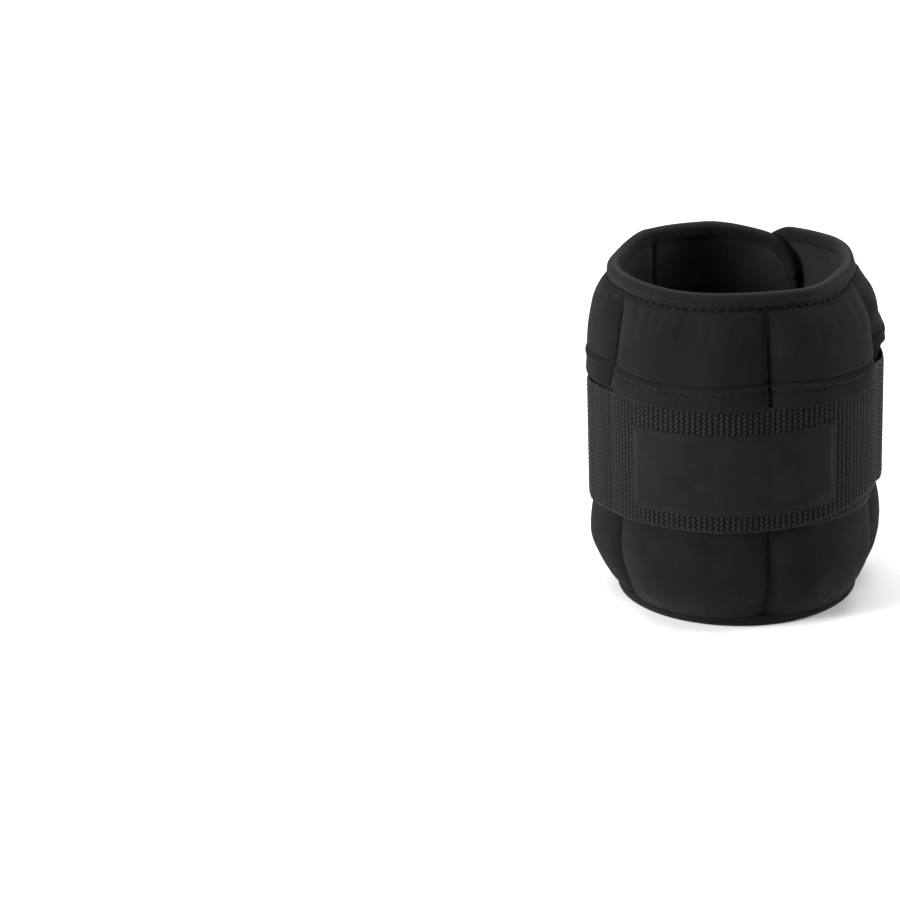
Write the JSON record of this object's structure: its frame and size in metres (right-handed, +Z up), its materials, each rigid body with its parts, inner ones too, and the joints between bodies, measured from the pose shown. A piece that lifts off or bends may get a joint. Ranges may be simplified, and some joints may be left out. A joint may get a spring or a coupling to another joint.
{
  "type": "ankle cuff weight",
  "caption": "Padded ankle cuff wrapped closed, with grit-filled pockets and a webbing strap that passes through a metal ring and folds back.",
  "frame": {"origin": "centre of the leg opening, in the plane of the lower edge", "axes": "+Z up along the leg opening, -Y out of the front of the cuff where the label is"},
  "size_m": [0.1162, 0.1248, 0.1345],
  "materials": {
    "lining_cloth": "brushed jersey on foam",
    "edge_tape": "folded knit edge tape",
    "pocket_cloth": "fine jersey on thin foam",
    "bag_film": "heat sealed film",
    "metal_grit": "loose metal grit",
    "webbing": "loop-faced ribbed webbing",
    "label_patch": "satin woven patch, blank",
    "hook_tape": "hook tape",
    "ring_metal": "bright nickel plate",
    "thread": "polyester thread"
  },
  "bodies": {
    "segment_2": {"back_panel_2": "lining_cloth", "edge_binding_2": "edge_tape", "weight_fill_2": "metal_grit", "weight_bag_2": "bag_film", "pocket_2": "pocket_cloth", "pocket_flap_2": "pocket_cloth", "base_strap_2": "webbing", "tail_strap_2": "webbing", "label_left": "label_patch", "seam_tacks_2": "thread"},
    "segment_1": {"back_panel_1": "lining_cloth", "edge_binding_1": "edge_tape", "weight_fill_1": "metal_grit", "weight_bag_1": "bag_film", "pocket_1": "pocket_cloth", "pocket_flap_1": "pocket_cloth", "base_strap_1": "webbing", "tail_strap_1": "webbing", "ring_tab": "webbing"},
    "inner_end": {"inner_end_panel": "lining_cloth", "edge_binding_inner_end": "edge_tape"},
    "segment_3": {"back_panel_3": "lining_cloth", "edge_binding_3": "edge_tape", "weight_fill_3": "metal_grit", "weight_bag_3": "bag_film", "pocket_3": "pocket_cloth", "pocket_flap_3": "pocket_cloth", "base_strap_3": "webbing", "tail_strap_3": "webbing", "label_right": "label_patch", "seam_tacks_3": "thread"},
    "segment_4": {"back_panel_4": "lining_cloth", "edge_binding_4": "edge_tape", "weight_fill_4": "metal_grit", "weight_bag_4": "bag_film", "pocket_4": "pocket_cloth", "pocket_flap_4": "pocket_cloth", "base_strap_4": "webbing", "tail_strap_4": "webbing", "seam_tacks_4": "thread"},
    "segment_5": {"back_panel_5": "lining_cloth", "edge_binding_5": "edge_tape", "weight_fill_5": "metal_grit", "weight_bag_5": "bag_film", "pocket_5": "pocket_cloth", "pocket_flap_5": "pocket_cloth", "base_strap_5": "webbing", "tail_strap_5": "webbing", "seam_tacks_5": "thread"},
    "outer_end": {"outer_end_panel": "lining_cloth", "edge_binding_outer_end": "edge_tape", "base_strap_outer_end": "webbing", "tail_strap_outer_end": "webbing", "strap_turn": "webbing"},
    "ring": {"ring": "ring_metal"},
    "strap_tip": {"strap_tip": "webbing", "hook_patch": "hook_tape"}
  },
  "joints": [
    {"name": "unwrap", "type": "hinge", "parent": "segment_2", "child": "segment_3", "pos_m": [0.01149, -0.04784, 0.067], "axis": [0, 0, -1], "range_deg": [0, 73.5], "deforming": ["strap_turn"]},
    {"name": "seam_1_2", "type": "hinge", "parent": "segment_2", "child": "segment_1", "pos_m": [-0.04261, -0.0246, 0.067], "axis": [0, 0, 1], "range_deg": [0, 73.5]},
    {"name": "seam_inner_end", "type": "hinge", "parent": "segment_1", "child": "inner_end", "pos_m": [-0.03569, 0.03387, 0.067], "axis": [0, 0, 1], "range_deg": [0, 73.5]},
    {"name": "seam_3_4", "type": "hinge", "parent": "segment_3", "child": "segment_4", "pos_m": [0.04913, -0.00258, 0.067], "axis": [0, 0, -1], "range_deg": [0, 68.36]},
    {"name": "seam_4_5", "type": "hinge", "parent": "segment_4", "child": "segment_5", "pos_m": [0.02043, 0.04942, 0.067], "axis": [0, 0, -1], "range_deg": [0, 63.58]},
    {"name": "seam_outer_end", "type": "hinge", "parent": "segment_5", "child": "outer_end", "pos_m": [-0.0389, 0.04663, 0.067], "axis": [0, 0, -1], "range_deg": [0, 29.4]},
    {"name": "ring_swing", "type": "hinge", "parent": "segment_1", "child": "ring", "pos_m": [-0.05618, 0.02189, 0.067], "axis": [0, 0, 1], "range_deg": [0, 70], "deforming": ["strap_turn"]},
    {"name": "tip_peel", "type": "hinge", "parent": "segment_1", "child": "strap_tip", "pos_m": [-0.0554, -0.01157, 0.067], "axis": [0, 0, 1], "range_deg": [0, 60]}
  ],
  "couplings": [
    {"joint": "seam_1_2", "follows": "unwrap", "ratio": 1},
    {"joint": "seam_inner_end", "follows": "unwrap", "ratio": 1},
    {"joint": "seam_3_4", "follows": "unwrap", "ratio": 0.93},
    {"joint": "seam_4_5", "follows": "unwrap", "ratio": 0.865},
    {"joint": "seam_outer_end", "follows": "unwrap", "ratio": 0.4}
  ]
}
